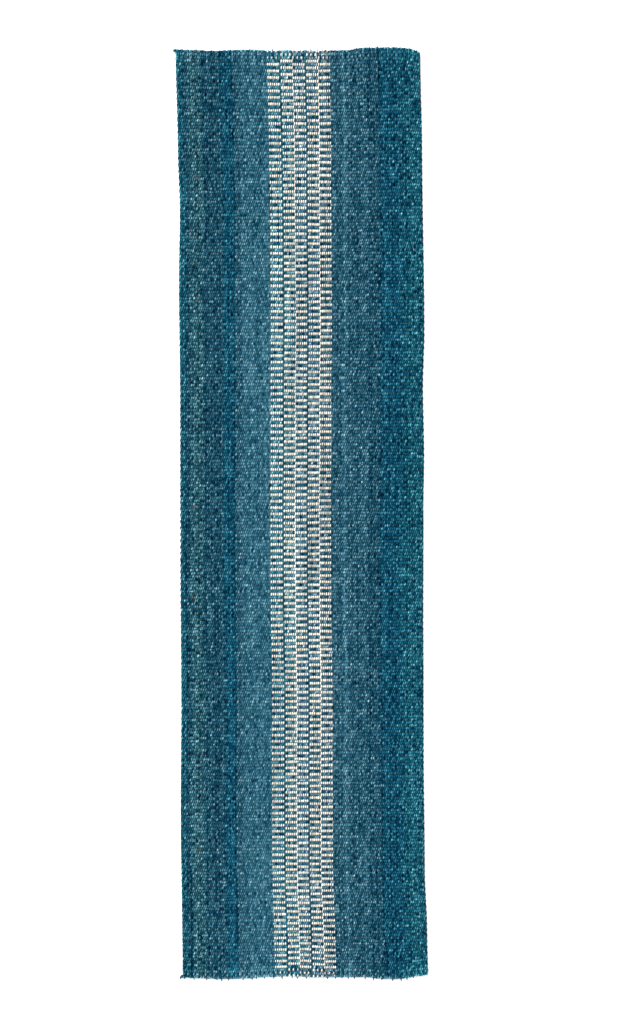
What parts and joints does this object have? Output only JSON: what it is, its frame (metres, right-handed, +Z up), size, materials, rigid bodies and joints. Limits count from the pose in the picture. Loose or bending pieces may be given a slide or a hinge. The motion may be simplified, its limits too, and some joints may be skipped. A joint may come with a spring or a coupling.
{
  "type": "runner rug",
  "caption": "Long, thick hand-woven runner rug with heathered teal and navy stripes and an off-centre band of small cream and blue checks.",
  "frame": {"origin": "on the floor under the rug, at the middle of the box round the whole rug", "axes": "+X across the rug to the plain wide field's side, +Y along its length, +Z up, out of the face"},
  "size_m": [0.7926, 3, 0.01],
  "materials": {
    "teal_wool": "matte wool warp, teal, lighter and darker stitch by stitch",
    "heather_wool": "matte wool warp, teal with grey-green and beige flecks",
    "beige_heather_wool": "matte wool warp, teal with more beige in it",
    "denim_wool": "matte heathered wool warp, denim blue",
    "slate_wool": "matte heathered wool warp, slate blue",
    "dark_wool": "matte wool warp, dark blue",
    "night_wool": "matte wool warp, deep navy teal",
    "check_wool": "matte wool warp, cream and blue yarns by turns",
    "cream_wool": "matte undyed cream wool warp",
    "weft_yarn": "matte dark blue weft yarn, hidden but for its turns at the selvedges",
    "end_cord_yarn": "matte dark blue cord with a knot"
  },
  "bodies": {
    "root": {"left_selvedge_warp": "teal_wool", "left_edge_line_warp": "dark_wool", "left_heather_outer_warp": "heather_wool", "left_heather_line_warp": "beige_heather_wool", "left_heather_inner_warp": "heather_wool", "left_dark_outer_warp": "dark_wool", "left_dark_middle_warp": "dark_wool", "left_night_warp": "night_wool", "left_denim_outer_warp": "slate_wool", "left_denim_middle_warp": "denim_wool", "left_denim_inner_warp": "denim_wool", "check_column_1_warp": "check_wool", "blue_divider_1_2_warp": "denim_wool", "check_column_2_warp": "check_wool", "cream_divider_2_3_warp": "cream_wool", "check_column_3_warp": "check_wool", "blue_divider_3_4_warp": "denim_wool", "check_column_4_warp": "check_wool", "cream_divider_4_5_warp": "cream_wool", "check_column_5_warp": "check_wool", "right_denim_inner_warp": "slate_wool", "right_denim_light_warp": "denim_wool", "right_denim_outer_warp": "slate_wool", "right_middle_dark_warp": "dark_wool", "right_middle_light_warp": "slate_wool", "right_middle_warp": "dark_wool", "right_dark_inner_warp": "dark_wool", "right_night_warp": "night_wool", "right_teal_warp": "teal_wool", "right_selvedge_warp": "teal_wool", "weft": "weft_yarn", "far_end_cord": "end_cord_yarn", "near_end_cord": "end_cord_yarn"}
  },
  "joints": []
}
